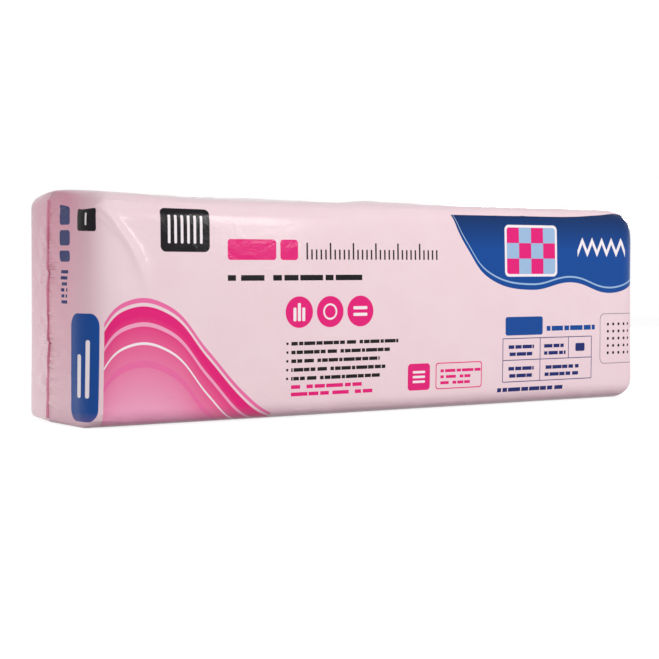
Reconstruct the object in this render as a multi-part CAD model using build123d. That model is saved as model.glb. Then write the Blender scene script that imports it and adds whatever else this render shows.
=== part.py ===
from build123d import *
import os

# A bag of compressed fiberglass batts: sixteen unfaced batts standing on edge, squeezed face to
# face and sealed in a film bag. Millimetres. X runs along the batts, Y through the stack and Z up.
# The origin is at the middle of the underside, which lies flat on the floor.

# Batts: the size they are cut to, and how far the packing squeezes them
batt_length = 1194.0
batt_width = 381.0
batt_loft = 152.0
batt_count = 16
squeeze_ratio = 8.1
batt_gap = 0.3

# Film bag
film = 0.8
film_clearance = 0.3

# How far the stack and the looser film swell past their straight sides, at the middle of each
batt_side_swell = 0.5
bag_side_swell = 4.0
batt_top_swell = 1.0
bag_top_swell = 6.0
batt_end_swell = 5.0
bag_end_rise = 15.0
facet_swell = 2.0

# Rounding of the bag's edges, outside the film, and how much rounder the batts are inside it
floor_edge_radius = 30.0
top_edge_radius = 42.0
upright_edge_radius = 56.0
end_floor_radius = 36.0
end_top_radius = 48.0
batt_rounding = 28.0

# How far the rounded outlines stand off the swell that they cross, so that none only grazes it
outline_relief = 0.5

# Heat-sealed fin that stands up the middle of each end
fin_reach = 5.0
fin_layers = 2
fin_floor_gap = 6.0
fin_top_gap = 4.0
fin_return = 20.0
seal_land = 3.0

packed_thickness = batt_loft / squeeze_ratio
stack_depth = batt_count * packed_thickness + (batt_count - 1) * batt_gap
film_offset = film + film_clearance
bag_depth = stack_depth + 2 * film_offset
bag_height = batt_width + 2 * film_offset
bag_length = batt_length + 2 * film_offset


def section(inset, side_swell, top_swell, rounding):
    """Cross-section of the bag: flat on the floor, bowed sides and a crowned top."""
    half = bag_depth / 2 - inset
    low = inset
    high = bag_height - inset
    middle = (low + high) / 2
    with BuildSketch(Plane.YZ) as sketch:
        with BuildLine():
            Line((-half, low), (half, low))
            ThreePointArc((half, low), (half + side_swell, middle), (half, high))
            ThreePointArc((half, high), (0, high + top_swell), (-half, high))
            ThreePointArc((-half, high), (-half - side_swell, middle), (-half, low))
        make_face()
        bottoms = sketch.vertices().filter_by(lambda vertex: vertex.Y < middle)
        fillet(bottoms, floor_edge_radius + rounding - inset)
        tops = sketch.vertices().filter_by(lambda vertex: abs(vertex.Y - high) < film / 10)
        fillet(tops, top_edge_radius + rounding - inset)
    return sketch.sketch


def end_facet(start, finish):
    """One facet of an end, bowed outward by the film's swell."""
    outward = facet_swell if start[0] > 0 else -facet_swell
    middle = ((start[0] + finish[0]) / 2 + outward, (start[1] + finish[1]) / 2)
    ThreePointArc(start, middle, finish)


def plan(inset, side_swell, end_rise, rounding):
    """Outline from above: straight long sides, and ends that rise to the fin in two facets."""
    half_length = bag_length / 2 - inset
    half_depth = bag_depth / 2 + side_swell + outline_relief - inset
    tip = half_length + end_rise
    land = seal_land / 2
    with BuildSketch(Plane.XY) as sketch:
        with BuildLine():
            Line((-half_length, -half_depth), (half_length, -half_depth))
            end_facet((half_length, -half_depth), (tip, -land))
            Line((tip, -land), (tip, land))
            end_facet((tip, land), (half_length, half_depth))
            Line((half_length, half_depth), (-half_length, half_depth))
            end_facet((-half_length, half_depth), (-tip, land))
            Line((-tip, land), (-tip, -land))
            end_facet((-tip, -land), (-half_length, -half_depth))
        make_face()
        corners = sketch.vertices().filter_by(lambda vertex: abs(vertex.Y) > half_depth / 2)
        fillet(corners, upright_edge_radius + rounding - inset)
    return sketch.sketch


def profile(inset, end_rise, top_swell, rounding):
    """Outline from the front: flat below and above, rounded at both ends."""
    tip = bag_length / 2 + end_rise + outline_relief - inset
    low = inset
    high = bag_height + top_swell + outline_relief - inset
    with BuildSketch(Plane.XZ) as sketch:
        with Locations((0, (low + high) / 2)):
            Rectangle(2 * tip, high - low)
        bottoms = sketch.vertices().filter_by(lambda vertex: vertex.Y < high / 2)
        fillet(bottoms, end_floor_radius + rounding - inset)
        tops = sketch.vertices().filter_by(lambda vertex: abs(vertex.Y - high) < film / 10)
        fillet(tops, end_top_radius + rounding - inset)
    return sketch.sketch


def envelope(inset, side_swell, end_rise, top_swell, rounding=0):
    """The bag's soft block: what the section, the plan and the front outline have in common."""
    body = extrude(section(inset, side_swell, top_swell, rounding), amount=bag_length, both=True)
    body = body & extrude(plan(inset, side_swell, end_rise, rounding), amount=bag_height * 2, both=True)
    return body & extrude(profile(inset, end_rise, top_swell, rounding), amount=bag_depth, both=True)


def end_fins():
    """The sealed fins of both ends: film pressed flat, which follows each end over its rounded edges."""
    outline = profile(outline_relief - fin_reach, bag_end_rise, bag_top_swell, 0)
    plate = extrude(outline, amount=fin_layers * film / 2, both=True)
    low = fin_floor_gap
    high = bag_height + bag_top_swell - fin_top_gap
    reach = bag_length / 2 + bag_end_rise + fin_reach
    start = bag_length / 2 - fin_return
    fins = []
    for side in (-1, 1):
        window = Box(reach - start, bag_depth, high - low)
        fins.append(plate & (Location((side * (start + reach) / 2, 0, (low + high) / 2)) * window))
    return fins


def film_bag():
    """The film as a closed shell, with a fin on each end."""
    solid = envelope(0, bag_side_swell, bag_end_rise, bag_top_swell)
    for fin in end_fins():
        solid = solid + fin
    return solid - envelope(film, bag_side_swell, bag_end_rise, bag_top_swell)


def batts():
    """The squeezed batts as separate slices of the block that fills the bag."""
    block = envelope(film_offset, batt_side_swell, batt_end_swell, batt_top_swell, batt_rounding)
    pitch = packed_thickness + batt_gap
    first = -(batt_count - 1) / 2 * pitch
    slices = []
    for index in range(batt_count):
        reach = packed_thickness + (batt_side_swell if index in (0, batt_count - 1) else 0) * 2
        outward = -1 if index == 0 else 1
        shift = outward * (reach - packed_thickness) / 2
        cutter = Box(2 * bag_length, reach, 4 * bag_height)
        slices.append(block & (Location((0, first + index * pitch + shift, 0)) * cutter))
    return Compound(children=slices)


if __name__ == "__main__":
    os.makedirs("parts", exist_ok=True)
    export_step(film_bag(), "parts/film_bag.step")
    export_step(batts(), "parts/batts.step")
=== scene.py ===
import math

import bmesh
import bpy
import numpy as np
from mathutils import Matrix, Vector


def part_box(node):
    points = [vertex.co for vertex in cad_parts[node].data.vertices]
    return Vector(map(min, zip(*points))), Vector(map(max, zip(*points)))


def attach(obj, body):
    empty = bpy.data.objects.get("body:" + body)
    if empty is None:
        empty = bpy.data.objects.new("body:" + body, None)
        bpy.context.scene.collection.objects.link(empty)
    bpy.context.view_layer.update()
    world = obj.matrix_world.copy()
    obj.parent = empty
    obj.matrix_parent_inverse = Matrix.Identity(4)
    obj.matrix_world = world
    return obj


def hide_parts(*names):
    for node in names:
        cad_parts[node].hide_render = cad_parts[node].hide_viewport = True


# A printed film bag of squeezed fiberglass batts, lying on its long edge. Metres, +X along the
# batts, -Y the printed front, +Z up. Film is laid out in two measures: along, from the middle of
# the bag round to the fin of either end, and around, from the lower front edge up the front, over
# the top, down the back and under.

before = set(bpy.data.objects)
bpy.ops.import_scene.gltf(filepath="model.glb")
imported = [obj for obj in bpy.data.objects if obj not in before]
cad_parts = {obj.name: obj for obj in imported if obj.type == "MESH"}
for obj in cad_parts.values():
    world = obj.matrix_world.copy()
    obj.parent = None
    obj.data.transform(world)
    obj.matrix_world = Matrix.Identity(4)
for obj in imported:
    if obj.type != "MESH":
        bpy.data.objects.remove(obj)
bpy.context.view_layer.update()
film_low, film_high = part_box("film_bag")

# The bag's sharp form, before its edges are softened
fin_reach = 0.005
end_rise = 0.015
side_swell = 0.004
bag_height = 0.3832
ridge_x = film_high.x - fin_reach
corner_x = ridge_x - end_rise
bag_depth = film_high.y - film_low.y - 2 * side_swell
facet_length = math.hypot(end_rise, bag_depth / 2)
along_end = corner_x + facet_length
top_start = bag_height
back_start = top_start + bag_depth
under_start = back_start + bag_height
girth = under_start + bag_depth

# Softened edges, which are rounder at the puffed left end than at the right
top_radius_left = 0.044
top_radius_right = 0.034
floor_radius_left = 0.032
floor_radius_right = 0.036
end_edge_radius = 0.016
upright_radius_tight = 0.040
upright_radius_full = 0.060
upright_radius_plain = 0.044
window_samples = 49

# Rounding of the left and right ends, seen from the front: at the fin, the corners and the floor
end_radius_at_fin = (0.016, 0.030)
end_radius_at_front = (0.046, 0.066)
end_radius_at_back = (0.020, 0.061)
end_radius_at_floor = (0.006, 0.044)

# Loose film over the top: a puff at the left end that dies away to the right
crown_left = 0.0165
crown_middle = 0.0030
crown_right = 0.0018
puff_run = 0.17

# Where each fin jogs sideways: height, shift towards the front, and how far it takes to settle
fin_jogs = {
    -1: ((0.258, 0.0080, 0.020), (0.139, 0.0085, 0.014), (0.075, -0.0020, 0.040)),
    1: ((0.300, -0.0060, 0.018), (0.110, 0.0050, 0.020)),
}
jog_spread = 0.035

# How strong the folds are beside the fin of each end
fold_share = {-1: 1, 1: 0.45}

# How many folds of each kind there are: on each face of each end, at each corner, along each edge and in all
gathers_a_face = 70
top_corner_folds = 14
floor_corner_folds = 9
edge_creases = 7
slack_folds = 38

# Grid steps over the film
middle_step = 0.0095
end_step = 0.0024
front_step = 0.0025
back_step = 0.006
across_step = 0.009
dense_from = 0.46


# Film surface

def blend(value, start, finish):
    """A smooth step from 0 at start to 1 at finish."""
    part = np.clip((value - start) / (finish - start), 0, 1)
    return part * part * (3 - 2 * part)


def sharp_plan(along):
    """The sharp-edged bag seen from above: how far along it a place is, and the bag's half depth there."""
    facet = np.clip((np.abs(along) - corner_x) / facet_length, 0, 1)
    x = np.sign(along) * (np.minimum(np.abs(along), corner_x) + end_rise * facet)
    return x, bag_depth / 2 * (1 - facet)


def sharp_section(around):
    """The sharp-edged bag cut across: a place's height, and its side from -1 in front to 1 at the back."""
    turn = np.mod(around, girth)
    z = np.clip(turn, 0, bag_height) - np.clip(turn - back_start, 0, bag_height)
    over_top = np.clip((turn - top_start) / bag_depth, 0, 1)
    under = np.clip((turn - under_start) / bag_depth, 0, 1)
    return z, 2 * over_top - 1 - 2 * under


def averaged(outline, place, reach):
    """Both values of a sharp outline, averaged over a window round each place, which rounds its corners."""
    totals = [0, 0]
    for sample in np.linspace(-1, 1, window_samples):
        for index, value in enumerate(outline(place + sample * reach)):
            totals[index] = totals[index] + value / window_samples
    return totals


def level_of(around):
    """How high up the bag a place on the film is, from 0 on the floor to 1 at the top."""
    turn = np.mod(around, girth)
    front = np.clip(turn / bag_height, 0, 1)
    back = np.clip((under_start - turn) / bag_height, 0, 1)
    return np.minimum(front, back)


def soft_film(along, around):
    """The bag with soft edges, at points given by their two measures along the film."""
    level = level_of(around)
    reach = np.abs(along)
    loose = (along < 0) & (np.mod(around, girth) < top_start + bag_depth / 2)
    fullest = np.where(loose, upright_radius_full, upright_radius_plain)
    corner_window = upright_radius_tight + (fullest - upright_radius_tight) * np.sin(math.pi * level) ** 1.2
    from_corner = np.abs(reach - corner_x) / corner_window
    along_window = corner_window * np.clip(1.25 - 0.25 * from_corner, 0.2, 1)
    along_window = np.minimum(along_window, along_end - reach)
    rightward = blend(along, -0.5, 0.6)
    top_window = top_radius_left + (top_radius_right - top_radius_left) * rightward
    floor_window = floor_radius_left + (floor_radius_right - floor_radius_left) * rightward
    around_window = floor_window + (top_window - floor_window) * blend(level, 0.3, 0.7)
    on_left_end = blend(-along, corner_x + 0.02, corner_x - 0.02)
    squared = (1 - on_left_end) * (1 - blend(level, 0.3, 0.7) * loose)
    around_window = around_window + (end_edge_radius - around_window) * squared
    x, half_depth = averaged(sharp_plan, along, along_window)
    z, side = averaged(sharp_section, around, around_window)
    return np.stack([x, half_depth * side, z], axis=-1)


def corner_pull(outward, upward, radius):
    """How far a point near a square corner moves each way as the corner is drawn onto a circle."""
    out_share = np.clip(outward / radius + 1, 0, 1)
    up_share = np.clip(upward / radius + 1, 0, 1)
    out_pull = radius * out_share * (1 - np.sqrt(1 - up_share ** 2 / 2))
    up_pull = radius * up_share * (1 - np.sqrt(1 - out_share ** 2 / 2))
    return out_pull, up_pull


def round_ends(points):
    """Rounds the bag's ends, seen from the front, most at their corners and least at the fin."""
    x = points[..., 0]
    z = points[..., 2]
    side = (x > 0).astype(int)
    depth_share = np.clip(np.abs(points[..., 1]) / (bag_depth / 2), 0, 1)
    outward = np.abs(x) - ridge_x + end_rise * depth_share
    at_corner = blend(depth_share, 0.1, 0.85)
    fin_radius = np.array(end_radius_at_fin)[side]
    front_radius = np.array(end_radius_at_front)[side]
    corner_radius = np.where(points[..., 1] < 0, front_radius, np.array(end_radius_at_back)[side])
    top_radius = fin_radius + (corner_radius - fin_radius) * at_corner
    top_out, top_up = corner_pull(outward, z - bag_height, top_radius)
    floor_out, floor_down = corner_pull(outward, -z, np.array(end_radius_at_floor)[side])
    points[..., 0] = x - np.sign(x) * (top_out + floor_out)
    points[..., 2] = z - top_up + floor_down
    return points


def jog_shift(side, height):
    """How far a fin stands to the front of the middle, at a height up one end."""
    shift = 0.0012 * np.sin(height * 23 + side)
    for place, amount, settle in fin_jogs[side]:
        below = place - height
        shift = shift + amount * blend(below, -0.003, 0.002) * np.exp(-np.clip(below, 0, None) / settle)
    return -shift


def swell(points, along):
    """Pushes the soft bag out where the squeezed stack and the loose film make it bulge."""
    x = points[..., 0]
    z = points[..., 2]
    level = np.clip(z / bag_height, 0, 1)
    run = np.clip(1 - (np.abs(x) / corner_x) ** 6, 0, 1)
    depth_share = np.clip(np.abs(points[..., 1]) / (bag_depth / 2), 0, 1)
    bulge = side_swell * 4 * level * (1 - level) * depth_share ** 2 * run
    to_ridge = along_end - np.abs(along)
    jog = np.where(along < 0, jog_shift(-1, z), jog_shift(1, z)) * np.exp(-(to_ridge / jog_spread) ** 2)
    points[..., 1] += np.sign(points[..., 1]) * bulge + jog
    sag = crown_middle + (crown_right - crown_middle) * blend(x, -0.1, corner_x)
    puff = (crown_left - crown_middle) * np.exp(-(np.clip(x + corner_x, 0, None) / puff_run) ** 2)
    points[..., 2] = z + (sag + puff) * (0.45 + 0.55 * (1 - depth_share ** 2)) * level ** 6
    return points


def grid_normals(points):
    """Outward normals of a grid of points that closes round its second direction."""
    along_slope = np.gradient(points, axis=0)
    around_slope = (np.roll(points, -1, axis=1) - np.roll(points, 1, axis=1)) / 2
    normals = np.cross(along_slope, around_slope)
    return normals / np.maximum(np.linalg.norm(normals, axis=-1, keepdims=True), 1e-12)


# Folds in the film, each a ridge along a bowed line between two places on it

def add_fold(relief, along, around, start, finish, bow, width, height, taper=0.25):
    """Adds one crease, sharpest along its crest, that tapers away at both ends."""
    run_along = finish[0] - start[0]
    run_around = finish[1] - start[1]
    length = math.hypot(run_along, run_around)
    forward = (run_along / length, run_around / length)
    from_along = along - start[0]
    from_around = around - start[1]
    travel = (from_along * forward[0] + from_around * forward[1]) / length
    offset = from_around * forward[0] - from_along * forward[1]
    swing = (offset - bow * 4 * travel * (1 - travel)) / (width * (0.6 + 0.8 * np.clip(travel, 0, 1)))
    near = (travel > 0) & (travel < 1) & (np.abs(swing) < 4)
    crest = np.exp(-1.7 * (np.sqrt(swing[near] ** 2 + 0.1) - 0.1 ** 0.5))
    relief[near] += height * crest * blend(travel[near], 0, taper) * blend(travel[near], 1, 0.5)


def add_gathers(relief, along, around, draw):
    """Fine folds that run off each fin, thickest about its jogs, where the seal drew the film in."""
    for side in (-1, 1):
        jogs = fin_jogs[side]
        for on_back in (False, True):
            for count in range(gathers_a_face):
                if count % 2:
                    height = jogs[count % len(jogs)][0] + draw.normal(0, 0.022)
                else:
                    height = draw.uniform(0.03, 0.36)
                start_around = under_start - height if on_back else height
                length = draw.uniform(0.02, 0.10)
                slope = draw.normal(0, 0.16)
                start = (side * (along_end + 0.004), start_around)
                finish = (side * (along_end - length), start_around + slope * length)
                strength = draw.uniform(-0.0018, 0.0028) * fold_share[side]
                add_fold(relief, along, around, start, finish, draw.normal(0, 0.003),
                         draw.uniform(0.0022, 0.0045), strength, 0.12)


def add_corner_folds(relief, along, around, draw):
    """Longer folds that fan out from the bag's corners, over the upright edges and the shoulder."""
    edge = -corner_x
    top = bag_height
    shoulder_folds = (
        ((0.004, -0.012), (0.106, -0.190), 0.021, 0.0120, 0.0046),
        ((-0.004, 0.004), (0.060, -0.016), 0.004, 0.0045, 0.0022),
        ((0.030, -0.002), (0.125, -0.018), 0.004, 0.0045, 0.0018),
        ((-0.060, 0.006), (0.010, -0.020), -0.004, 0.0060, 0.0016),
    )
    for near, far, bow, width, height in shoulder_folds:
        start = (edge + near[0], top + near[1])
        finish = (edge + far[0], top + far[1])
        add_fold(relief, along, around, start, finish, bow, width, height)
    corners = (
        (top_corner_folds, top - 0.010, (-1.1, 0.35), (0.05, 0.15)),
        (floor_corner_folds, 0.010, (-0.2, 0.9), (0.04, 0.11)),
    )
    for side in (-1, 1):
        for on_back in (False, True):
            for count, height, spreads, lengths in corners:
                for fold in range(count):
                    spread = draw.uniform(*spreads)
                    length = draw.uniform(*lengths)
                    fold_along = (corner_x + draw.uniform(-0.01, 0.03), corner_x - length * math.cos(spread))
                    fold_up = (height, height + length * math.sin(spread))
                    add_panel_fold(relief, along, around, side, on_back, fold_along, fold_up, draw)


def add_panel_fold(relief, along, around, side, on_back, fold_along, fold_up, draw):
    """One slight fold on the front or the back, between two distances along and two heights."""
    heights = [under_start - height if on_back else height for height in fold_up]
    start = (side * fold_along[0], heights[0])
    finish = (side * fold_along[1], heights[1])
    add_fold(relief, along, around, start, finish, draw.normal(0, 0.004),
             draw.uniform(0.003, 0.006), draw.uniform(-0.0003, 0.0010) * fold_share[side])


def add_edge_ripples(relief, along, around, draw):
    """Short ripples over the long edges, where the film turns over the batts."""
    edges = (
        (0, 44, 0.0010),
        (top_start, 60, 0.0010),
        (back_start, 70, 0.0016),
        (under_start, 54, 0.0014),
    )
    for edge, count, strength in edges:
        for ripple in range(count):
            place = draw.uniform(-0.57, 0.58)
            length = draw.uniform(0.018, 0.06)
            start = (place, edge - length * 0.5)
            finish = (place + draw.normal(0, 0.014), edge + length * 0.6)
            add_fold(relief, along, around, start, finish, draw.normal(0, 0.002),
                     draw.uniform(0.005, 0.012), draw.uniform(-0.7, 1.0) * strength)
        for crease in range(edge_creases):
            place = draw.uniform(-0.52, 0.35)
            start = (place, edge + draw.normal(0, 0.010))
            finish = (place + draw.uniform(0.08, 0.26), start[1] + draw.normal(0, 0.006))
            add_fold(relief, along, around, start, finish, draw.normal(0, 0.003),
                     draw.uniform(0.0025, 0.004), draw.uniform(-0.5, 0.8) * strength)


def add_slack_folds(relief, along, around, draw):
    """Long shallow pulls in the looser film over the top and the back."""
    top_span = (top_start + 0.02, back_start - 0.02)
    back_span = (back_start + 0.02, under_start - 0.03)
    for count in range(slack_folds):
        on_back = count % 2 == 1
        low, high = back_span if on_back else top_span
        start = (draw.uniform(-0.55, 0.55), draw.uniform(low, high))
        slope = draw.normal(0, 0.32 if on_back else 0.14)
        length = draw.uniform(0.12, 0.42)
        toward = -1 if start[0] > 0 else 1
        finish = (start[0] + toward * length, min(max(start[1] + slope * length, low), high))
        add_fold(relief, along, around, start, finish, draw.normal(0, 0.016),
                 draw.uniform(0.009, 0.018), draw.uniform(-0.0018, 0.0036))


def panel_places(length, step):
    """Evenly spaced places along one panel, from its start up to but not including its end."""
    count = max(2, round(length / step))
    return np.arange(count) * length / count


def film_grid():
    """The wrapped film as a grid of points, with the two measures of each."""
    middle = np.arange(-dense_from, dense_from, middle_step)
    right = np.linspace(dense_from, along_end, round((along_end - dense_from) / end_step))
    along_line = np.concatenate([-right[::-1], middle[1:], right])
    around_line = np.concatenate([
        panel_places(bag_height, front_step),
        top_start + panel_places(bag_depth, across_step),
        back_start + panel_places(bag_height, back_step),
        under_start + panel_places(bag_depth, across_step),
    ])
    along, around = np.meshgrid(along_line, around_line, indexing="ij")
    points = swell(round_ends(soft_film(along, around)), along)
    draw = np.random.default_rng(16)
    around = np.where(around > girth - bag_depth / 2, around - girth, around)
    relief = np.zeros_like(along)
    add_gathers(relief, along, around, draw)
    add_corner_folds(relief, along, around, draw)
    add_edge_ripples(relief, along, around, draw)
    add_slack_folds(relief, along, around, draw)
    settled = blend(points[..., 2], 0.0, 0.006) * blend(along_end - np.abs(along), 0, 0.005)
    points += grid_normals(points) * (relief * settled)[..., None]
    points[..., 2] = np.maximum(points[..., 2], 0)
    return points, along, around


def film_mesh(points, along, around):
    """The film grid as one closed mesh that carries its two measures and its level as attributes."""
    rows, columns = along.shape
    index = np.arange(rows * columns).reshape(rows, columns)
    ahead = np.roll(index, -1, axis=1)
    faces = np.stack([index[:-1], index[1:], ahead[1:], ahead[:-1]], axis=-1).reshape(-1, 4)
    mesh = bpy.data.meshes.new("film_wrap")
    mesh.from_pydata(points.reshape(-1, 3).tolist(), [], faces.tolist())
    place = mesh.attributes.new("film_place", "FLOAT_VECTOR", "POINT")
    places = np.stack([along, around, np.zeros_like(along)], axis=-1)
    place.data.foreach_set("vector", places.astype(np.float32).ravel())
    level = mesh.attributes.new("film_level", "FLOAT", "POINT")
    level.data.foreach_set("value", level_of(around).astype(np.float32).ravel())
    welded = bmesh.new()
    welded.from_mesh(mesh)
    bmesh.ops.remove_doubles(welded, verts=welded.verts, dist=1e-5)
    welded.to_mesh(mesh)
    welded.free()
    mesh.shade_smooth()
    mesh.update()
    return mesh


def piece(name, mesh):
    """An object for one piece of the bag, in the scene and riding with the CAD body."""
    made = bpy.data.objects.new(name, mesh)
    bpy.context.scene.collection.objects.link(made)
    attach(made, "root")
    return made


film_points, film_along, film_around = film_grid()
film_wrap = piece("film_wrap", film_mesh(film_points, film_along, film_around))


# Heat-sealed fins, which follow the ridge of each end over its rounded edges

fin_root = 0.0016
fin_stand = 0.0036
fin_root_thickness = 0.0016
fin_edge_thickness = 0.0008
fin_step = 0.0022
fin_low = 0.006
fin_high = (0.386, 0.350)


def ridge_line(side):
    """The film's ridge at one end, from the floor up, at even steps."""
    row = film_points[-1] if side > 0 else film_points[0]
    front_half = film_around[0] <= top_start + bag_depth / 2
    ordered = row[front_half][np.argsort(film_around[0][front_half])]
    kept = ordered[(ordered[:, 2] > fin_low) & (ordered[:, 2] < fin_high[int(side > 0)])]
    steps = np.linalg.norm(np.diff(kept, axis=0), axis=1)
    travel = np.concatenate([[0], np.cumsum(steps)])
    places = np.arange(0, travel[-1], fin_step)
    return np.stack([np.interp(places, travel, kept[:, axis]) for axis in range(3)], axis=-1)


def fin_mesh(side):
    """One fin: a thin strip with a rippled free edge, closed at both ends."""
    line = ridge_line(side)
    tangent = np.gradient(line, axis=0)
    tangent[:, 1] = 0
    tangent /= np.linalg.norm(tangent, axis=1, keepdims=True)
    outward = np.stack([tangent[:, 2], np.zeros(len(line)), -tangent[:, 0]], axis=-1) * side
    draw = np.random.default_rng(5 + side)
    height = line[:, 2]
    stand = fin_stand + 0.0005 * np.sin(height * 61) + 0.0004 * np.sin(height * 147 + side)
    lean = 0.0009 * np.sin(height * 38 + side) + 0.0005 * np.sin(height * 95)
    lean = lean + draw.normal(0, 0.0001, len(line))
    for place, amount, settle in fin_jogs[side]:
        lean = lean - 0.0022 * np.sign(amount) * np.exp(-((height - place) / 0.006) ** 2)
    across = np.array([0, 1, 0])
    loops = []
    bands = ((-1, fin_root_thickness), (0.5, fin_root_thickness), (1, fin_edge_thickness))
    for reach_share, thickness in bands:
        reach = -fin_root if reach_share < 0 else stand * reach_share
        sideways = lean * max(reach_share, 0) ** 2
        centre = line + outward * np.broadcast_to(reach, height.shape)[:, None] + across * sideways[:, None]
        loops.append((centre - across * thickness / 2, centre + across * thickness / 2))
    ring = [loops[0][0], loops[1][0], loops[2][0], loops[2][1], loops[1][1], loops[0][1]]
    corners = np.stack(ring, axis=1)
    count, sides = corners.shape[:2]
    faces = [list(range(sides)), [(count - 1) * sides + corner for corner in reversed(range(sides))]]
    for step in range(count - 1):
        for corner in range(sides):
            low = step * sides + corner
            low_next = step * sides + (corner + 1) % sides
            faces.append([low, low + sides, low_next + sides, low_next])
    mesh = bpy.data.meshes.new("end_seal")
    mesh.from_pydata(corners.reshape(-1, 3).tolist(), [], faces)
    ready = bmesh.new()
    ready.from_mesh(mesh)
    bmesh.ops.recalc_face_normals(ready, faces=ready.faces)
    ready.to_mesh(mesh)
    ready.free()
    mesh.shade_smooth()
    return mesh


end_seals = [piece("end_seal_left", fin_mesh(-1)), piece("end_seal_right", fin_mesh(1))]


# Laying out shader nodes

mix_under_socket = 6
mix_over_socket = 7
mix_result_socket = 2


def join(tree, socket, value):
    """Feeds a socket from another node's output, or sets it to a plain value."""
    if isinstance(value, bpy.types.NodeSocket):
        tree.links.new(value, socket)
    else:
        socket.default_value = value


def add_node(tree, kind, inputs=None, **settings):
    """A new node with its settings, and with its inputs joined or set by name or number."""
    node = tree.nodes.new("ShaderNode" + kind)
    for name, value in settings.items():
        setattr(node, name, value)
    for key, value in (inputs or {}).items():
        join(tree, node.inputs[key], value)
    return node


def maths(tree, operation, *values, clamp=False):
    """The result of a maths node."""
    return add_node(tree, "Math", dict(enumerate(values)), operation=operation, use_clamp=clamp).outputs[0]


def vector_maths(tree, operation, *values):
    """The vector that a vector maths node gives."""
    return add_node(tree, "VectorMath", dict(enumerate(values)), operation=operation).outputs["Vector"]


def vector_length(tree, value):
    """The length of a vector."""
    return add_node(tree, "VectorMath", {0: value}, operation="LENGTH").outputs["Value"]


def noise(tree, vector, scale, detail=2.0, roughness=0.5, distortion=0.0):
    """The value of a noise texture."""
    return add_node(tree, "TexNoise", {
        "Vector": vector, "Scale": scale, "Detail": detail, "Roughness": roughness, "Distortion": distortion,
    }).outputs["Fac"]


def parts_of(tree, vector):
    """The two film measures, or the first two parts, of a vector."""
    split = add_node(tree, "SeparateXYZ", {0: vector})
    return split.outputs[0], split.outputs[1]


def union(tree, masks):
    """One mask that covers what any of several masks covers."""
    total = masks[0]
    for mask in masks[1:]:
        total = maths(tree, "MAXIMUM", total, mask)
    return total


def lay_ink(tree, under, ink, mask):
    """A colour with an ink laid over it where a mask is 1."""
    node = add_node(tree, "Mix", {0: mask}, data_type="RGBA")
    join(tree, node.inputs[mix_under_socket], under)
    join(tree, node.inputs[mix_over_socket], ink)
    return node.outputs[mix_result_socket]


def shader_group(name, inputs, outputs):
    """An empty node group with named inputs, each given as its kind and default, and outputs."""
    group = bpy.data.node_groups.new(name, "ShaderNodeTree")
    for label, (kind, default) in inputs.items():
        socket = group.interface.new_socket(label, in_out="INPUT", socket_type="NodeSocket" + kind)
        socket.default_value = default
    for label, kind in outputs.items():
        group.interface.new_socket(label, in_out="OUTPUT", socket_type="NodeSocket" + kind)
    entry = group.nodes.new("NodeGroupInput").outputs
    result = group.nodes.new("NodeGroupOutput").inputs
    return group, entry, result


def use_group(tree, group, inputs):
    """A node group placed in a material with its own values."""
    node = tree.nodes.new("ShaderNodeGroup")
    node.node_tree = group
    for label, value in inputs.items():
        join(tree, node.inputs[label], value)
    return node.outputs


def new_material(name):
    """A material, with its node tree and its shader."""
    material = bpy.data.materials.new(name)
    material.use_nodes = True
    tree = material.node_tree
    return material, tree, tree.nodes["Principled BSDF"]


def from_srgb(red, green, blue):
    """A screen colour, 0 to 255, as the linear colour that a shader takes."""
    linear = []
    for value in (red, green, blue):
        share = value / 255
        linear.append(share / 12.92 if share <= 0.04045 else ((share + 0.055) / 1.055) ** 2.4)
    return (*linear, 1)


# Printed shapes, as masks over the film's two measures

ink_edge = 0.0009
zero = ("Float", 0.0)
nowhere = ("Vector", (0, 0, 0))


def block_group():
    """A rectangle with rounded corners."""
    inputs = {"Place": nowhere, "Centre": nowhere, "Half Size": nowhere, "Corner": zero}
    group, given, result = shader_group("printed_block", inputs, {"Mask": "Float"})
    away = vector_maths(group, "ABSOLUTE", vector_maths(group, "SUBTRACT", given["Place"], given["Centre"]))
    along, around = parts_of(group, vector_maths(group, "SUBTRACT", away, given["Half Size"]))
    along = maths(group, "ADD", along, given["Corner"])
    around = maths(group, "ADD", around, given["Corner"])
    outside = add_node(group, "CombineXYZ", {
        0: maths(group, "MAXIMUM", along, 0.0),
        1: maths(group, "MAXIMUM", around, 0.0),
    }).outputs[0]
    inside = maths(group, "MINIMUM", maths(group, "MAXIMUM", along, around), 0.0)
    to_sharp = maths(group, "ADD", vector_length(group, outside), inside)
    distance = maths(group, "SUBTRACT", to_sharp, given["Corner"])
    mask = maths(group, "MULTIPLY_ADD", distance, -1 / ink_edge, 0.5, clamp=True)
    join(group, result["Mask"], mask)
    return group


def ellipse_group():
    """An ellipse, as a filled shape and as a line of a given width round its edge."""
    inputs = {"Place": nowhere, "Centre": nowhere, "Half Size": ("Vector", (1, 1, 1)), "Width": zero}
    group, given, result = shader_group("printed_ellipse", inputs, {"Mask": "Float", "Ring": "Float"})
    away = vector_maths(group, "SUBTRACT", given["Place"], given["Centre"])
    share = vector_length(group, vector_maths(group, "DIVIDE", away, given["Half Size"]))
    half_along, half_around = parts_of(group, given["Half Size"])
    scale = maths(group, "MINIMUM", half_along, half_around)
    distance = maths(group, "MULTIPLY", maths(group, "SUBTRACT", share, 1.0), scale)
    join(group, result["Mask"], maths(group, "MULTIPLY_ADD", distance, -1 / ink_edge, 0.5, clamp=True))
    within = maths(group, "SUBTRACT", given["Width"], maths(group, "ABSOLUTE", distance))
    join(group, result["Ring"], maths(group, "MULTIPLY_ADD", within, 1 / ink_edge, 0.5, clamp=True))
    return group


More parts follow.
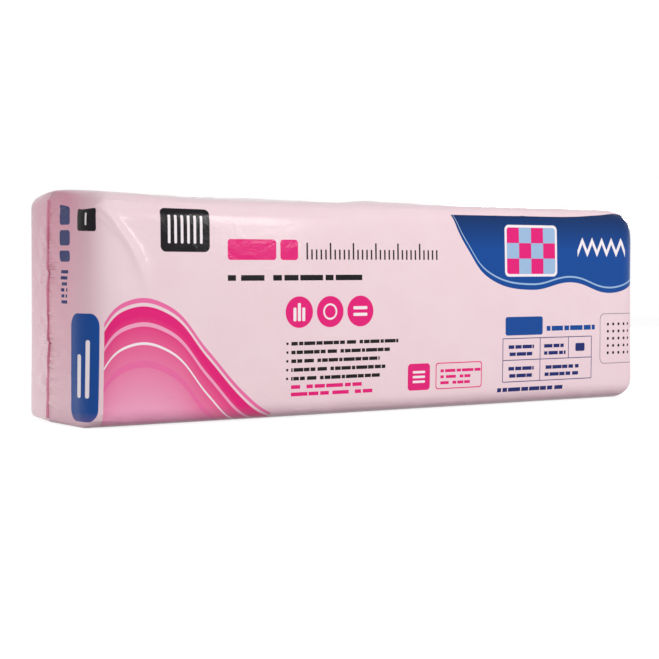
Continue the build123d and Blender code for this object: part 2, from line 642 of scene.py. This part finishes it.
def rules_group():
    """Rows of short plain bars, of uneven lengths, that fill a rectangle from its left side."""
    inputs = {"Place": nowhere, "Low Corner": nowhere, "Size": ("Vector", (1, 1, 1)), "Rows": ("Float", 1.0),
              "Bar Length": ("Float", 0.02), "Bar Height": ("Float", 0.45), "Seed": zero}
    group, given, result = shader_group("printed_rules", inputs, {"Mask": "Float"})
    local = vector_maths(group, "SUBTRACT", given["Place"], given["Low Corner"])
    along, around = parts_of(group, local)
    width, height = parts_of(group, given["Size"])
    row_place = maths(group, "MULTIPLY", maths(group, "DIVIDE", around, height), given["Rows"])
    row = maths(group, "FLOOR", row_place)
    row_chance = add_node(group, "TexWhiteNoise", {"W": maths(group, "ADD", row, given["Seed"])},
                          noise_dimensions="1D").outputs["Value"]
    in_row = maths(group, "LESS_THAN", maths(group, "FRACT", row_place), given["Bar Height"])
    bar_place = maths(group, "DIVIDE", along, given["Bar Length"])
    bar_place = maths(group, "ADD", bar_place, maths(group, "MULTIPLY", row_chance, 9.0))
    bar_chance = add_node(group, "TexNoise", {"W": maths(group, "MULTIPLY", bar_place, 0.6), "Scale": 1.0},
                          noise_dimensions="1D").outputs["Fac"]
    bar_place = maths(group, "ADD", bar_place, maths(group, "MULTIPLY", bar_chance, 2.2))
    in_bar = maths(group, "LESS_THAN", maths(group, "FRACT", bar_place), 0.84)
    row_share = maths(group, "SUBTRACT", 1.0, maths(group, "MULTIPLY", row_chance, 0.3))
    row_end = maths(group, "MULTIPLY", width, row_share)
    limits = [
        maths(group, "GREATER_THAN", along, 0.0),
        maths(group, "LESS_THAN", along, row_end),
        maths(group, "GREATER_THAN", around, 0.0),
        maths(group, "LESS_THAN", around, height),
        in_bar,
    ]
    mask = in_row
    for limit in limits:
        mask = maths(group, "MULTIPLY", mask, limit)
    join(group, result["Mask"], mask)
    return group


printed_block = block_group()
printed_ellipse = ellipse_group()
printed_rules = rules_group()


def film_wear_group():
    """Fine crinkles of thin film, and the uneven tone of the wool that presses on it."""
    inputs = {"Place": nowhere, "Crinkle Size": ("Float", 0.02), "Stretch": ("Vector", (1, 1, 1))}
    outputs = {"Crinkle": "Float", "Cloud": "Float", "Gloss Change": "Float"}
    group, given, result = shader_group("film_wear", inputs, outputs)
    stretched = vector_maths(group, "MULTIPLY", given["Place"], given["Stretch"])
    scale = maths(group, "DIVIDE", 1.0, given["Crinkle Size"])
    broad = noise(group, stretched, scale, 4.0, 0.55, 0.6)
    creased = maths(group, "ABSOLUTE", maths(group, "SUBTRACT", broad, 0.5))
    fine = noise(group, stretched, maths(group, "MULTIPLY", scale, 6.0), 3.0, 0.6)
    crinkle = maths(group, "MULTIPLY_ADD", fine, 0.22, maths(group, "MULTIPLY", creased, 1.6))
    join(group, result["Crinkle"], crinkle)
    cloud = noise(group, given["Place"], 9.0, 5.0, 0.6)
    join(group, result["Cloud"], maths(group, "MULTIPLY_ADD", cloud, 2.4, -0.7, clamp=True))
    join(group, result["Gloss Change"], maths(group, "MULTIPLY_ADD", broad, 0.5, -0.25))
    return group


film_wear = film_wear_group()


def fine_gathers_group():
    """Fine creases that run off the end seals, strongest beside them and gone within a reach."""
    inputs = {"Place": nowhere, "Seal": ("Float", 1.0), "Reach": ("Float", 0.1)}
    group, given, result = shader_group("fine_gathers", inputs, {"Height": "Float"})
    along = parts_of(group, given["Place"])[0]
    from_seal = maths(group, "SUBTRACT", given["Seal"], maths(group, "ABSOLUTE", along))
    patches = noise(group, given["Place"], 14.0)
    patches = maths(group, "MULTIPLY_ADD", patches, 3.0, -1.0, clamp=True)
    share = maths(group, "DIVIDE", from_seal, given["Reach"])
    closeness = maths(group, "SUBTRACT", 1.0, share, clamp=True)
    drawn = vector_maths(group, "MULTIPLY", given["Place"], (16, 190, 1))
    lines = noise(group, drawn, 1.0, distortion=0.4)
    creased = maths(group, "ABSOLUTE", maths(group, "SUBTRACT", lines, 0.5))
    strength = maths(group, "MULTIPLY", maths(group, "POWER", closeness, 1.5), patches)
    join(group, result["Height"], maths(group, "MULTIPLY", creased, strength))
    return group


fine_gathers = fine_gathers_group()


# Colours of the film, of its painted shade and of its inks

film_light = from_srgb(244, 219, 225)
film_deep = from_srgb(241, 213, 220)
# Deeper pink of the ends: wool showing through the film, and painted shade high up on them
end_pink_and_shade = from_srgb(236, 166, 187)
# Painted shade for the film at the lower front edge, where it turns under
painted_edge_shade_colour = from_srgb(178, 120, 150)
ink_charcoal = from_srgb(14, 9, 16)
ink_magenta = from_srgb(232, 28, 122)
ink_rose = from_srgb(240, 112, 168)
ink_blush = from_srgb(246, 168, 200)
ink_blue = from_srgb(5, 72, 152)
ink_deep_blue = from_srgb(2, 42, 92)
ink_navy = from_srgb(26, 38, 108)
ink_sky = from_srgb(160, 190, 224)
ink_white = from_srgb(250, 240, 244)
ink_grey = from_srgb(140, 128, 140)

# Film finish: roughness, refraction, strength of the painted shade at the lower front edge, and depth of fine
# gathers and creases
film_roughness = 0.15
film_refraction = 1.27
painted_shade_share = 0.6
gather_depth = 24.0
crease_depth = 14.0


class PrintSheet:
    """The film's colour as inks are laid over it, one after another."""

    def __init__(self, tree, place, colour):
        self.tree = tree
        self.place = place
        self.colour = colour

    def maths(self, operation, *values, clamp=False):
        """The result of a maths node in the sheet's material."""
        return maths(self.tree, operation, *values, clamp=clamp)

    def vector(self, operation, *values):
        """The vector that a vector maths node gives in the sheet's material."""
        return vector_maths(self.tree, operation, *values)

    def block(self, centre, half, corner=0.0):
        """A mask of a rounded rectangle, by its centre and half sizes."""
        given = {"Place": self.place, "Centre": (*centre, 0), "Half Size": (*half, 0), "Corner": corner}
        return use_group(self.tree, printed_block, given)["Mask"]

    def ellipse(self, centre, half, width=0.0):
        """The masks of an ellipse and of a line round its edge."""
        given = {"Place": self.place, "Centre": (*centre, 0), "Half Size": (*half, 1), "Width": width}
        return use_group(self.tree, printed_ellipse, given)

    def rules(self, low, size, rows, bar_length, bar_height=0.45, seed=0.0):
        """A mask of rows of plain bars in a rectangle."""
        given = {"Place": self.place, "Low Corner": (*low, 0), "Size": (*size, 1), "Rows": float(rows),
                 "Bar Length": bar_length, "Bar Height": bar_height, "Seed": seed}
        return use_group(self.tree, printed_rules, given)["Mask"]

    def below(self, curve_points, start, finish):
        """How far up a smooth line runs over a stretch of the film, less the place's own height."""
        along, around = parts_of(self.tree, self.place)
        share = add_node(self.tree, "MapRange", {0: along, 1: start, 2: finish, 3: 0.0, 4: 1.0}).outputs[0]
        curve = add_node(self.tree, "FloatCurve", {"Value": share})
        line = curve.mapping.curves[0]
        line.points[0].location = (0, curve_points[0][1] / bag_height)
        line.points[1].location = (1, curve_points[-1][1] / bag_height)
        for place, height in curve_points[1:-1]:
            line.points.new((place - start) / (finish - start), height / bag_height)
        curve.mapping.update()
        height = self.maths("MULTIPLY", curve.outputs[0], bag_height)
        return self.maths("SUBTRACT", height, around)

    def ticks(self, low, size, spacing, thickness):
        """A mask of upright ticks like those of a measure, every fifth one of full height."""
        along, around = parts_of(self.tree, self.vector("SUBTRACT", self.place, (*low, 0)))
        beat = self.maths("DIVIDE", along, spacing)
        in_beat = self.maths("FRACT", beat)
        off_middle = self.maths("ABSOLUTE", self.maths("SUBTRACT", in_beat, 0.5))
        tick = self.edge(self.maths("MULTIPLY_ADD", off_middle, -spacing, thickness / 2))
        in_five = self.maths("FRACT", self.maths("DIVIDE", beat, 5.0))
        fifth = self.maths("LESS_THAN", in_five, 0.2)
        reach = self.maths("MULTIPLY_ADD", fifth, size[1] * 0.4, size[1] * 0.6)
        inside = self.edge(self.maths("SUBTRACT", reach, around))
        window = self.block((low[0] + size[0] / 2, low[1] + size[1] / 2), (size[0] / 2, size[1] / 2))
        return self.both(self.both(tick, inside), window)

    def zigzag(self, centre, half, period, thickness):
        """A mask of a zigzag line in a rectangle, by its centre and half sizes."""
        along, around = parts_of(self.tree, self.vector("SUBTRACT", self.place, (*centre, 0)))
        rise = self.maths("PINGPONG", self.maths("ADD", along, half[0]), period / 2)
        line = self.maths("MULTIPLY_ADD", rise, 4 * half[1] / period, -half[1])
        off = self.maths("ABSOLUTE", self.maths("SUBTRACT", around, line))
        steepness = math.hypot(1, 4 * half[1] / period)
        from_line = self.maths("DIVIDE", off, steepness)
        zigzag = self.edge(self.maths("SUBTRACT", thickness / 2, from_line))
        return self.both(zigzag, self.block(centre, (half[0], half[1] + thickness)))

    def chequer(self, centre, cell):
        """A mask of every other square of a chequered pattern."""
        away = self.vector("SUBTRACT", self.place, (*centre, 0))
        squares = self.vector("FLOOR", self.vector("DIVIDE", away, (cell, cell, 1)))
        return self.maths("PINGPONG", self.maths("ADD", *parts_of(self.tree, squares)), 1.0)

    def edge(self, distance):
        """A mask that is 1 where a distance is positive, with a soft printed edge."""
        return self.maths("MULTIPLY_ADD", distance, 1 / ink_edge, 0.5, clamp=True)

    def both(self, first, second):
        """A mask of what two masks share."""
        return self.maths("MULTIPLY", first, second)

    def without(self, first, second):
        """A mask of what the first covers and the second doesn't."""
        return self.maths("MULTIPLY", first, self.maths("SUBTRACT", 1.0, second))

    def lay(self, ink, *masks):
        """Prints an ink wherever any of the masks is."""
        self.colour = lay_ink(self.tree, self.colour, ink, union(self.tree, masks))


def print_titles(sheet):
    """The charcoal block with its upright bars, two magenta blocks, a measure and the row under them."""
    sheet.lay(ink_charcoal, sheet.block((-0.428, 0.330), (0.046, 0.038), 0.010))
    places = [-0.458 + 0.012 * bar for bar in range(6)]
    sheet.lay(ink_white, *[sheet.block((place, 0.330), (0.0024, 0.024), 0.002) for place in places])
    sheet.lay(ink_magenta, sheet.block((-0.300, 0.297), (0.048, 0.018), 0.006),
              sheet.block((-0.226, 0.297), (0.018, 0.018), 0.006))
    sheet.lay(ink_charcoal, sheet.ticks((-0.194, 0.280), (0.290, 0.030), 0.0097, 0.0034),
              sheet.rules((-0.348, 0.243), (0.36, 0.011), 1, 0.040, 0.9, 3.0))


def print_tokens(sheet):
    """Three magenta tokens in a row with a plain sign in each, and the rows of bars under them."""
    height = 0.187
    places = (-0.206, -0.142, -0.078)
    sheet.lay(ink_magenta, *[sheet.ellipse((place, height), (0.028, 0.028))["Mask"] for place in places])
    sheet.lay(ink_white, sheet.block((places[0], height), (0.0030, 0.016), 0.002),
              sheet.block((places[0] - 0.009, height - 0.004), (0.0030, 0.012), 0.002),
              sheet.block((places[0] + 0.009, height - 0.004), (0.0030, 0.012), 0.002),
              sheet.ellipse((places[1], height), (0.013, 0.013), 0.0016)["Ring"],
              sheet.block((places[2], height + 0.006), (0.015, 0.0028), 0.002),
              sheet.block((places[2], height - 0.006), (0.015, 0.0028), 0.002))
    bullets = [sheet.ellipse((-0.230, 0.0695 + 0.0155 * row), (0.0024, 0.0024))["Mask"] for row in range(5)]
    sheet.lay(ink_charcoal, sheet.rules((-0.222, 0.066), (0.235, 0.0775), 5, 0.017, 0.42, 8.0), *bullets)
    sheet.lay(ink_magenta, sheet.rules((-0.222, 0.038), (0.205, 0.026), 2, 0.030, 0.52, 5.0))


def print_badges(sheet):
    """The small magenta square and the ruled box right of the middle."""
    sheet.lay(ink_magenta, sheet.block((0.052, 0.062), (0.025, 0.025), 0.007))
    heights = (0.053, 0.062, 0.071)
    sheet.lay(ink_white, *[sheet.block((0.052, height), (0.014, 0.0022), 0.002) for height in heights])
    plate = sheet.block((0.144, 0.062), (0.054, 0.025), 0.006)
    inner = sheet.block((0.144, 0.062), (0.0520, 0.0230), 0.005)
    sheet.lay(ink_magenta, sheet.without(plate, inner),
              sheet.rules((0.101, 0.046), (0.094, 0.034), 3, 0.020, 0.5, 2.0))


def print_ribbons(sheet):
    """Magenta to blush ribbons that sweep across the lower left of the front."""
    start, finish = -0.585, -0.255
    crest = ((-0.585, 0.150), (-0.535, 0.196), (-0.460, 0.188), (-0.385, 0.110), (-0.320, 0.040),
             (-0.255, -0.012))
    below_crest = sheet.below(crest, start, finish)
    along = parts_of(sheet.tree, sheet.place)[0]
    left_edge = sheet.edge(sheet.maths("SUBTRACT", along, start + 0.007))
    left_edge = sheet.both(left_edge, sheet.edge(sheet.maths("SUBTRACT", finish - 0.004, along)))
    field = sheet.both(sheet.edge(below_crest), left_edge)
    fade = sheet.maths("MULTIPLY_ADD", below_crest, 6.5, -0.10, clamp=True)
    sheet.lay(lay_ink(sheet.tree, ink_magenta, ink_blush, fade), field)
    bands = ((0.030, 0.0035, ink_blush), (0.062, 0.0022, ink_white), (0.096, 0.006, ink_rose))
    for depth, width, ink in bands:
        off = sheet.maths("ABSOLUTE", sheet.maths("SUBTRACT", below_crest, depth))
        band = sheet.edge(sheet.maths("SUBTRACT", width, off))
        sheet.lay(ink, sheet.both(band, left_edge))
    outline = sheet.maths("ABSOLUTE", sheet.maths("ADD", below_crest, 0.010))
    halo = sheet.edge(sheet.maths("SUBTRACT", 0.004, outline))
    sheet.lay(ink_rose, sheet.both(halo, left_edge))


def print_blue_panel(sheet):
    """The blue panel that runs off the shoulder and round the right end, with its chequered window."""
    start, finish = 0.125, along_end
    line = ((0.125, 0.376), (0.165, 0.300), (0.225, 0.240), (0.320, 0.222), (0.420, 0.236), (0.520, 0.214),
            (0.620, 0.234), (along_end, 0.222))
    over = sheet.maths("MULTIPLY", sheet.below(line, start, finish), -1.0)
    along, around = parts_of(sheet.tree, sheet.place)
    past = sheet.maths("MAXIMUM", sheet.maths("SUBTRACT", along, 0.38), 0.0)
    shoulder = sheet.maths("MULTIPLY_ADD", sheet.maths("MULTIPLY", past, past), 0.55, 0.3685)
    under_shoulder = sheet.edge(sheet.maths("SUBTRACT", shoulder, around))
    right_side = sheet.edge(sheet.maths("SUBTRACT", along, start))
    panel = sheet.both(sheet.both(sheet.edge(over), under_shoulder), right_side)
    fade = sheet.maths("MULTIPLY_ADD", around, 1 / 0.07, -0.30 / 0.07, clamp=True)
    sheet.lay(lay_ink(sheet.tree, ink_blue, ink_deep_blue, fade), panel)
    off_stripe = sheet.maths("ABSOLUTE", sheet.maths("SUBTRACT", over, 0.011))
    stripe = sheet.edge(sheet.maths("SUBTRACT", 0.0016, off_stripe))
    sheet.lay(ink_sky, sheet.both(sheet.both(stripe, under_shoulder), right_side))
    window = (0.318, 0.298)
    cell = 0.030
    sheet.lay(ink_white, sheet.block(window, (2 * cell + 0.005, 1.5 * cell + 0.005), 0.010))
    pane = sheet.block(window, (2 * cell, 1.5 * cell), 0.006)
    sheet.lay(ink_sky, pane)
    sheet.lay(ink_magenta, sheet.both(pane, sheet.chequer((window[0], window[1] - cell / 2), cell)))
    sheet.lay(ink_white, sheet.zigzag((0.500, 0.306), (0.064, 0.013), 0.0256, 0.006))


def print_table(sheet):
    """The ruled blue table with the block above it and the row under it."""
    sheet.lay(ink_blue, sheet.block((0.300, 0.152), (0.046, 0.018), 0.005),
              sheet.rules((0.356, 0.141), (0.125, 0.012), 1, 0.024, 0.8, 4.0))
    low, high = 0.044, 0.128
    left, right = 0.248, 0.472
    middle = (low + high) / 2
    line = 0.0008
    upright = (high - low) / 2
    level = (right - left) / 2
    lines = [sheet.block(((left + right) / 2, height), (level, line)) for height in (low, middle, high)]
    lines += [sheet.block((place, middle), (line, upright)) for place in (left, right)]
    lines.append(sheet.block((0.340, middle), (line, upright)))
    lines.append(sheet.block((0.412, (middle + high) / 2), (line, upright / 2)))
    sheet.lay(ink_navy, *lines)
    cells = ((0.262, middle + 0.008, 0.07), (0.350, middle + 0.008, 0.055), (0.262, low + 0.008, 0.07),
             (0.352, low + 0.008, 0.10))
    rows = [sheet.rules((along, around), (width, 0.028), 2, 0.020, 0.5, 6.0 + along * 40)
            for along, around, width in cells]
    sheet.lay(ink_navy, *rows, sheet.block((0.442, 0.107), (0.012, 0.008), 0.003),
              sheet.rules((0.236, 0.024), (0.17, 0.011), 1, 0.022, 0.8, 1.0))


def print_dots(sheet):
    """A square of fine dots in a thin grey frame, by the right end."""
    centre = (0.545, 0.122)
    spacing = 0.0145
    frame_half = 3.5 * spacing
    inner = frame_half - 0.0014
    sheet.lay(ink_grey, sheet.without(sheet.block(centre, (frame_half, frame_half), 0.012),
                                      sheet.block(centre, (inner, inner), 0.011)))
    first = (centre[0] - spacing / 2, centre[1] - spacing / 2, 0)
    away = sheet.vector("SUBTRACT", sheet.place, first)
    beat = sheet.vector("FRACTION", sheet.vector("DIVIDE", away, (spacing, spacing, 1)))
    off_centre = vector_length(sheet.tree, sheet.vector("SUBTRACT", beat, (0.5, 0.5, 0)))
    dots = sheet.edge(sheet.maths("MULTIPLY_ADD", off_centre, -spacing, 0.0030))
    field = 2.5 * spacing
    sheet.lay(ink_charcoal, sheet.both(dots, sheet.block(centre, (field, field))))


def print_left_end(sheet):
    """The navy blocks and rows, charcoal block and blue panel on the left end's front facet."""
    blocks = ((0.349, 0.017), (0.312, 0.012), (0.283, 0.009))
    sheet.lay(ink_navy, *[sheet.block((-0.692, height), (0.0190, half), 0.006) for height, half in blocks],
              sheet.rules((-0.704, 0.205), (0.026, 0.060), 6, 0.060, 0.55, 7.0))
    sheet.lay(ink_charcoal, sheet.block((-0.620, 0.345), (0.026, 0.022), 0.005))
    sheet.lay(ink_white, sheet.block((-0.620, 0.345), (0.0022, 0.013), 0.002))
    sheet.lay(ink_blue, sheet.block((-0.628, 0.100), (0.040, 0.090), 0.022))
    sheet.lay(ink_white, sheet.block((-0.616, 0.098), (0.0055, 0.048), 0.004),
              sheet.block((-0.640, 0.086), (0.0055, 0.036), 0.004))


def end_pink_and_painted_shade(tree, place):
    """How much of the ends' deeper pink to lay: the wool's pink showing through the film on the ends, none on
    the sides, made deeper higher up the ends as painted shade.
    """
    along = parts_of(tree, place)[0]
    level = add_node(tree, "Attribute", attribute_name="film_level").outputs["Fac"]
    past_corner = maths(tree, "SUBTRACT", maths(tree, "ABSOLUTE", along), corner_x - 0.03)
    on_end = maths(tree, "MULTIPLY", past_corner, 1 / 0.11, clamp=True)
    # Painted shade: the pink deepens higher up each end, where less light falls
    high = maths(tree, "MULTIPLY_ADD", level, 0.7, 0.3)
    return maths(tree, "MULTIPLY", on_end, high)


def painted_edge_shade_mask(tree, place):
    """How much painted shade to lay on the film towards and under the lower front edge, where the bag turns
    down into shade.
    """
    around = parts_of(tree, place)[1]
    return maths(tree, "MULTIPLY_ADD", around, -1 / 0.045, 0.027 / 0.045, clamp=True)


def slack_creases(tree, place):
    """Fine creases with flat film between them, on the top and the back, where the film is looser."""
    around = parts_of(tree, place)[1]
    drawn = vector_maths(tree, "MULTIPLY", place, (5, 13, 1))
    lines = noise(tree, drawn, 1.0, 3.0, distortion=0.8)
    groove = maths(tree, "MINIMUM", maths(tree, "ABSOLUTE", maths(tree, "SUBTRACT", lines, 0.5)), 0.045)
    past_shoulder = maths(tree, "MULTIPLY_ADD", around, 1 / 0.05, -0.385 / 0.05, clamp=True)
    return maths(tree, "MULTIPLY", groove, past_shoulder)


def vary_roughness(tree, shader, roughness, wear):
    """Makes a film's gloss uneven about a roughness."""
    change = maths(tree, "MULTIPLY", wear["Gloss Change"], 0.4)
    join(tree, shader.inputs["Roughness"], maths(tree, "ADD", roughness, change, clamp=True))


def add_bump(tree, shader, height, strength, distance):
    """Raises a material's surface by a height."""
    bump = add_node(tree, "Bump", {"Strength": strength, "Distance": distance, "Height": height})
    join(tree, shader.inputs["Normal"], bump.outputs["Normal"])


def film_material():
    """Glossy polyethylene film over pale wool, printed on its front and its left end."""
    material, tree, shader = new_material("printed_film")
    place = add_node(tree, "Attribute", attribute_name="film_place").outputs["Vector"]
    given = {"Place": place, "Crinkle Size": 0.045, "Stretch": (1, 1.5, 1)}
    wear = use_group(tree, film_wear, given)
    bare = lay_ink(tree, film_light, film_deep, wear["Cloud"])
    # Wool pink on the ends, with painted shade that deepens it higher up
    bare = lay_ink(tree, bare, end_pink_and_shade, end_pink_and_painted_shade(tree, place))
    sheet = PrintSheet(tree, place, bare)
    for print_part in (print_ribbons, print_titles, print_tokens, print_badges, print_blue_panel, print_table,
                       print_dots, print_left_end):
        print_part(sheet)
    # Painted shade: the film darkens to a cooler pink towards and under the lower front edge
    painted_shade_amount = maths(tree, "MULTIPLY", painted_edge_shade_mask(tree, place), painted_shade_share)
    join(tree, shader.inputs["Base Color"], lay_ink(tree, sheet.colour, painted_edge_shade_colour, painted_shade_amount))
    vary_roughness(tree, shader, film_roughness, wear)
    shader.inputs["IOR"].default_value = film_refraction
    gathers = use_group(tree, fine_gathers, {"Place": place, "Seal": along_end, "Reach": 0.085})["Height"]
    height = maths(tree, "MULTIPLY_ADD", gathers, gather_depth, wear["Crinkle"])
    height = maths(tree, "MULTIPLY_ADD", slack_creases(tree, place), crease_depth, height)
    add_bump(tree, shader, height, 0.5, 0.0008)
    return material


def seal_material():
    """The doubled film of the fins, pressed flat and a deeper pink."""
    material, tree, shader = new_material("sealed_film")
    place = add_node(tree, "TexCoord").outputs["Object"]
    wear = use_group(tree, film_wear, {"Place": place, "Crinkle Size": 0.006, "Stretch": (1, 1, 2)})
    colour = lay_ink(tree, from_srgb(238, 164, 188), from_srgb(224, 134, 164), wear["Cloud"])
    join(tree, shader.inputs["Base Color"], colour)
    vary_roughness(tree, shader, 0.28, wear)
    add_bump(tree, shader, wear["Crinkle"], 0.6, 0.0006)
    return material


def wool_material():
    """Pink glass wool: matted fibres in loose layers."""
    material, tree, shader = new_material("glass_wool")
    place = add_node(tree, "TexCoord").outputs["Object"]
    layered = vector_maths(tree, "MULTIPLY", place, (1, 4, 1))
    fibres = noise(tree, layered, 260.0, 6.0, 0.7, 1.4)
    tufts = noise(tree, place, 34.0, 4.0)
    tufted = maths(tree, "MULTIPLY_ADD", tufts, 1.2, -0.9)
    tone = maths(tree, "MULTIPLY_ADD", fibres, 1.6, tufted, clamp=True)
    colour = lay_ink(tree, from_srgb(214, 92, 124), from_srgb(246, 176, 196), tone)
    join(tree, shader.inputs["Base Color"], colour)
    shader.inputs["Roughness"].default_value = 0.9
    shader.inputs["Sheen Weight"].default_value = 0.3
    add_bump(tree, shader, fibres, 0.8, 0.002)
    return material


film_wrap.data.materials.append(film_material())
sealed_film = seal_material()
for end_seal in end_seals:
    end_seal.data.materials.append(sealed_film)
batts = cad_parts["batts"]
batts.data.materials.clear()
batts.data.materials.append(wool_material())

for film_piece in (film_wrap, *end_seals):
    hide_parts("film_bag")


# Studio

world_level = 0.46
floor_glow = 0.74
floor_albedo = 0.5
floor_size = 8.0
floor_drop = 0.0004


def seen_directly(tree):
    """1 for rays that look straight at the backdrop, or see it in gloss or through film."""
    path = add_node(tree, "LightPath").outputs
    return maths(tree, "MAXIMUM", maths(tree, "MAXIMUM", path["Is Camera Ray"], path["Is Glossy Ray"]),
                 path["Is Transmission Ray"])


def white_world():
    """A plain white backdrop that lights the bag less strongly than it shows."""
    world = bpy.data.worlds.new("studio")
    world.use_nodes = True
    tree = world.node_tree
    background = tree.nodes["Background"]
    background.inputs["Color"].default_value = (1, 1, 1, 1)
    strength = maths(tree, "MAXIMUM", seen_directly(tree), world_level)
    join(tree, background.inputs["Strength"], strength)
    return world


def white_floor():
    """A pale floor that runs out to white and keeps the bag's shadow."""
    half = floor_size / 2
    corners = [(-half, -half, -floor_drop), (half, -half, -floor_drop), (half, half, -floor_drop),
               (-half, half, -floor_drop)]
    mesh = bpy.data.meshes.new("floor")
    mesh.from_pydata(corners, [], [(0, 1, 2, 3)])
    floor = bpy.data.objects.new("floor", mesh)
    bpy.context.scene.collection.objects.link(floor)
    material, tree, shader = new_material("white_floor")
    shader.inputs["Base Color"].default_value = (floor_albedo, floor_albedo, floor_albedo, 1)
    shader.inputs["Roughness"].default_value = 0.9
    shader.inputs["Specular IOR Level"].default_value = 0.0
    shader.inputs["Emission Color"].default_value = (1, 1, 1, 1)
    glow = maths(tree, "MULTIPLY", seen_directly(tree), floor_glow)
    join(tree, shader.inputs["Emission Strength"], glow)
    mesh.materials.append(material)


def area_light(name, place, target, width, height, power):
    """A soft rectangular lamp aimed at a point."""
    data = bpy.data.lights.new(name, "AREA")
    data.shape = "RECTANGLE"
    data.size = width
    data.size_y = height
    data.energy = power
    lamp = bpy.data.objects.new(name, data)
    lamp.location = place
    aim = bpy.data.objects.new(name + "_aim", None)
    aim.location = target
    follow = lamp.constraints.new("TRACK_TO")
    follow.target = aim
    follow.track_axis = "TRACK_NEGATIVE_Z"
    follow.up_axis = "UP_Y"
    bpy.context.scene.collection.objects.link(lamp)
    bpy.context.scene.collection.objects.link(aim)
    return lamp


bpy.context.scene.world = white_world()
white_floor()
area_light("strip_light", (1.10, -2.70, 1.10), (-0.5, -0.15, 0.25), 0.26, 1.1, 18)
front_light = area_light("front_light", (-0.1, -3.1, 1.4), (0, 0, 0.15), 3.0, 1.4, 42)
area_light("back_light", (2.9, 2.3, 0.9), (0.0, 0.1, 0.2), 1.6, 0.6, 52)
low_card = area_light("low_card", (-1.1, 0.20, 0.03), (-0.6, 0.02, 0.03), 0.7, 0.06, 1.2)
for lamp in (front_light, low_card):
    lamp.visible_glossy = False

# Camera at the photograph's viewing angle, level, its height framed with shift alone
picture_size = 659
focal_pixels = 1481.7
horizon_row = 265.6
camera_azimuth = math.radians(-31.117)
camera_distance = 2.8674
camera_side_step = -0.0416
camera_height = 0.2695
sensor_width = 36.0
look = (-math.sin(camera_azimuth), math.cos(camera_azimuth))
to_right = (math.cos(camera_azimuth), math.sin(camera_azimuth))
camera_data = bpy.data.cameras.new("camera")
camera_data.sensor_width = sensor_width
camera_data.lens = sensor_width * focal_pixels / picture_size
camera_data.shift_y = (horizon_row - picture_size / 2) / picture_size
camera = bpy.data.objects.new("camera", camera_data)
camera.location = (
    -camera_distance * look[0] + camera_side_step * to_right[0],
    -camera_distance * look[1] + camera_side_step * to_right[1],
    camera_height,
)
camera.rotation_euler = (math.pi / 2, 0, camera_azimuth)
bpy.context.scene.collection.objects.link(camera)
bpy.context.scene.camera = camera
bpy.context.scene.view_settings.view_transform = "Standard"
